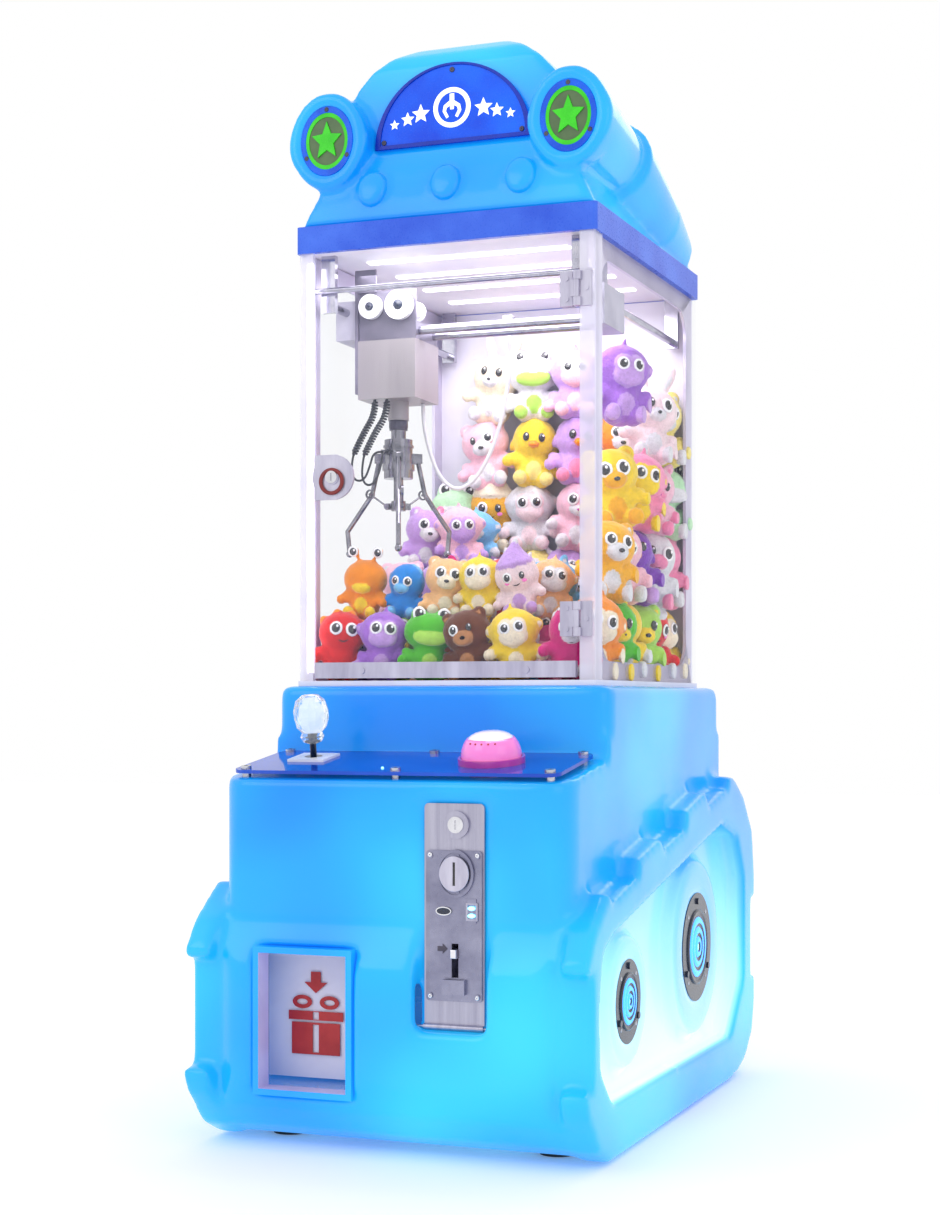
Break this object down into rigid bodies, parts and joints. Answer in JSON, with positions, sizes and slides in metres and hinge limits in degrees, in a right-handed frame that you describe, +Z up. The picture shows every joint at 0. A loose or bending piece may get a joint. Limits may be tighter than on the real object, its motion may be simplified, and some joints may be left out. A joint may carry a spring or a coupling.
{
  "type": "claw crane machine",
  "caption": "Small claw crane game: moulded blue cabinet with track-shaped sides, lit glass prize case, two-axis gantry with a three-finger claw, coin door, joystick and drop button.",
  "frame": {"origin": "on the floor, under the middle of the machine", "axes": "+X to the machine's right seen from the front, +Y to its back, +Z up"},
  "size_m": [0.48, 0.756, 1.305],
  "materials": {
    "blue_shell": "translucent glossy moulded plastic",
    "lamp_black": "gloss",
    "rubber": "matte",
    "zinc_sheet": "satin",
    "black_plastic": "matte",
    "lilac_steel": "satin",
    "blue_acrylic": "clear gloss",
    "screw_steel": "polished",
    "white_plastic": "satin",
    "crystal": "clear faceted",
    "magenta_plastic": "gloss",
    "pink_dome": "translucent gloss",
    "white_sheet": "powder coat",
    "clear_acrylic": "clear",
    "glass": "clear",
    "band_blue": "gloss",
    "led_strip": "glowing",
    "hinge_zinc": "satin",
    "marquee": "back lit",
    "lamp_green": "satin",
    "rail_steel": "polished",
    "brushed": "brushed",
    "selector_zinc": "cast satin",
    "chrome": "polished",
    "grey_plastic": "satin",
    "dark_metal": "satin",
    "claw_chrome": "polished",
    "cord_black": "satin",
    "hose_white": "satin",
    "plush": "short pile plush"
  },
  "bodies": {
    "cabinet": {"base_shell": "blue_shell", "track_covers": "blue_shell", "wheel_lights": "lamp_black", "rubber_feet": "rubber", "base_fittings": "zinc_sheet", "power_inlet": "black_plastic", "prize_chute": "zinc_sheet", "prize_door_frame": "lilac_steel", "control_panel": "blue_acrylic", "panel_standoffs": "screw_steel", "joystick_base": "white_plastic", "button_housing": "magenta_plastic", "playfield_floor": "white_sheet", "front_posts": "clear_acrylic", "side_glass": "glass", "side_frames": "white_sheet", "inner_panels": "white_sheet", "header_band": "band_blue", "led_strips": "led_strip", "door_hinge_mounts": "hinge_zinc", "top_cap": "blue_shell", "marquee_panel": "marquee", "lamp_lenses": "lamp_green", "side_rails": "rail_steel", "plush_front": "plush", "plush_middle": "plush", "plush_left": "plush", "plush_back": "plush", "plush_right": "plush"},
    "power_rocker": {"power_rocker": "black_plastic"},
    "rear_door": {"rear_door": "lilac_steel"},
    "prize_flap": {"prize_flap": "white_plastic"},
    "coin_door": {"coin_door": "brushed", "coin_selector": "selector_zinc"},
    "return_lever": {"return_lever": "chrome"},
    "coin_lock": {"coin_lock": "chrome"},
    "joystick_gimbal": {"joystick_gimbal": "black_plastic"},
    "joystick": {"joystick": "crystal"},
    "drop_button": {"drop_button": "pink_dome"},
    "front_door": {"door_glass": "glass", "door_fittings": "hinge_zinc"},
    "door_lock": {"door_lock": "chrome"},
    "bridge": {"bridge_carriages": "grey_plastic", "bridge_rods": "rail_steel"},
    "trolley": {"trolley_box": "lilac_steel", "trolley_carriage": "dark_metal", "trolley_hose": "hose_white", "coil_cord_left": "cord_black", "coil_cord_right": "cord_black"},
    "travel_pulley": {"travel_pulley": "white_plastic"},
    "winch_drum": {"winch_drum": "white_plastic"},
    "hoist_mid": {"hoist_sleeve_mid": "black_plastic"},
    "claw_head": {"claw_head": "claw_chrome"},
    "claw_plunger": {"claw_plunger": "claw_chrome"},
    "finger_front": {"finger_front": "claw_chrome"},
    "finger_right": {"finger_right": "claw_chrome"},
    "finger_left": {"finger_left": "claw_chrome"},
    "link_front": {"link_front": "claw_chrome"},
    "link_right": {"link_right": "claw_chrome"},
    "link_left": {"link_left": "claw_chrome"}
  },
  "joints": [
    {"name": "front_door_swing", "type": "hinge", "parent": "cabinet", "child": "front_door", "pos_m": [0.166, -0.19, 0.773], "axis": [0, 0, 1], "range_deg": [0, 110]},
    {"name": "door_lock_turn", "type": "hinge", "parent": "front_door", "child": "door_lock", "pos_m": [-0.142, -0.185, 0.773], "axis": [0, -1, 0], "range_deg": [0, 90]},
    {"name": "rear_door_swing", "type": "hinge", "parent": "cabinet", "child": "rear_door", "pos_m": [-0.156, 0.341, 0.188], "axis": [0, 0, 1], "range_deg": [0, 110]},
    {"name": "power_rocker_tilt", "type": "hinge", "parent": "cabinet", "child": "power_rocker", "pos_m": [0.178, 0.333, 0.253], "axis": [1, 0, 0], "range_deg": [0, 10]},
    {"name": "prize_flap_swing", "type": "hinge", "parent": "cabinet", "child": "prize_flap", "pos_m": [-0.1075, -0.301, 0.216], "axis": [1, 0, 0], "range_deg": [0, 75]},
    {"name": "coin_door_tilt", "type": "hinge", "parent": "cabinet", "child": "coin_door", "pos_m": [0.079, -0.351, 0.1495], "axis": [1, 0, 0], "range_deg": [0, 75]},
    {"name": "return_lever_press", "type": "slide", "parent": "coin_door", "child": "return_lever", "axis": [0, 0, -1], "range_m": [0, 0.014], "stiffness_N_per_m": 60, "springref_m": -0.003},
    {"name": "coin_lock_turn", "type": "hinge", "parent": "coin_door", "child": "coin_lock", "pos_m": [0.082, -0.351, 0.37], "axis": [0, -1, 0], "range_deg": [0, 90]},
    {"name": "joystick_pitch", "type": "hinge", "parent": "cabinet", "child": "joystick_gimbal", "pos_m": [-0.13, -0.26212, 0.4219], "axis": [1, 0, 0], "range_deg": [-11, 11], "stiffness_Nm_per_rad": 2},
    {"name": "joystick_roll", "type": "hinge", "parent": "joystick_gimbal", "child": "joystick", "pos_m": [-0.13, -0.26212, 0.4219], "axis": [0, 0.9897, 0.1428], "range_deg": [-11, 11], "stiffness_Nm_per_rad": 2},
    {"name": "drop_button_press", "type": "slide", "parent": "cabinet", "child": "drop_button", "axis": [0, 0.1428, -0.9897], "range_m": [0, 0.004], "stiffness_N_per_m": 400, "springref_m": -0.005},
    {"name": "bridge_travel", "type": "slide", "parent": "cabinet", "child": "bridge", "axis": [0, 1, 0], "range_m": [0, 0.18], "deforming": ["plush_left"]},
    {"name": "trolley_travel", "type": "slide", "parent": "bridge", "child": "trolley", "axis": [1, 0, 0], "range_m": [0, 0.13], "deforming": ["trolley_hose"]},
    {"name": "travel_pulley_spin", "type": "hinge", "parent": "trolley", "child": "travel_pulley", "pos_m": [-0.124, -0.115, 0.989], "axis": [0, 1, 0], "range_deg": [-5, 500]},
    {"name": "claw_hoist", "type": "slide", "parent": "trolley", "child": "claw_head", "axis": [0, 0, -1], "range_m": [-0.02, 0.09], "deforming": ["plush_front", "plush_middle", "coil_cord_left", "coil_cord_right"]},
    {"name": "sleeve_mid_slide", "type": "slide", "parent": "trolley", "child": "hoist_mid", "axis": [0, 0, -1], "range_m": [-0.0105, 0.0455]},
    {"name": "winch_spin", "type": "hinge", "parent": "trolley", "child": "winch_drum", "pos_m": [-0.086, -0.115, 0.989], "axis": [0, 1, 0], "range_deg": [-130, 580]},
    {"name": "claw_plunge", "type": "slide", "parent": "claw_head", "child": "claw_plunger", "axis": [0, 0, -1], "range_m": [0, 0.013]},
    {"name": "finger_front_close", "type": "hinge", "parent": "claw_head", "child": "finger_front", "pos_m": [-0.09345, -0.09985, 0.808], "axis": [0.9205, 0.3907, 0], "range_deg": [-0.5, 22.5]},
    {"name": "link_front_turn", "type": "hinge", "parent": "claw_plunger", "child": "link_front", "pos_m": [-0.09853, -0.08789, 0.747], "axis": [0.9205, 0.3907, 0], "range_deg": [-44.5, 0.5]},
    {"name": "finger_right_close", "type": "hinge", "parent": "claw_head", "child": "finger_right", "pos_m": [-0.08775, -0.05344, 0.808], "axis": [-0.7986, 0.6018, 0], "range_deg": [-0.5, 22.5]},
    {"name": "link_right_turn", "type": "hinge", "parent": "claw_plunger", "child": "link_right", "pos_m": [-0.09557, -0.06382, 0.747], "axis": [-0.7986, 0.6018, 0], "range_deg": [-44.5, 0.5]},
    {"name": "finger_left_close", "type": "hinge", "parent": "claw_head", "child": "finger_left", "pos_m": [-0.1308, -0.07171, 0.808], "axis": [-0.1219, -0.9925, 0], "range_deg": [-0.5, 22.5]},
    {"name": "link_left_turn", "type": "hinge", "parent": "claw_plunger", "child": "link_left", "pos_m": [-0.1179, -0.07329, 0.747], "axis": [-0.1219, -0.9925, 0], "range_deg": [-44.5, 0.5]}
  ],
  "couplings": [
    {"joint": "sleeve_mid_slide", "follows": "claw_hoist", "ratio": 0.5},
    {"joint": "winch_spin", "follows": "claw_hoist", "rad_per_m": 110},
    {"joint": "travel_pulley_spin", "follows": "trolley_travel", "rad_per_m": 66.667},
    {"joint": "finger_front_close", "follows": "claw_plunge", "rad_per_m": 29.5},
    {"joint": "link_front_turn", "follows": "claw_plunge", "rad_per_m": -58.7},
    {"joint": "finger_right_close", "follows": "claw_plunge", "rad_per_m": 29.5},
    {"joint": "link_right_turn", "follows": "claw_plunge", "rad_per_m": -58.7},
    {"joint": "finger_left_close", "follows": "claw_plunge", "rad_per_m": 29.5},
    {"joint": "link_left_turn", "follows": "claw_plunge", "rad_per_m": -58.7}
  ]
}
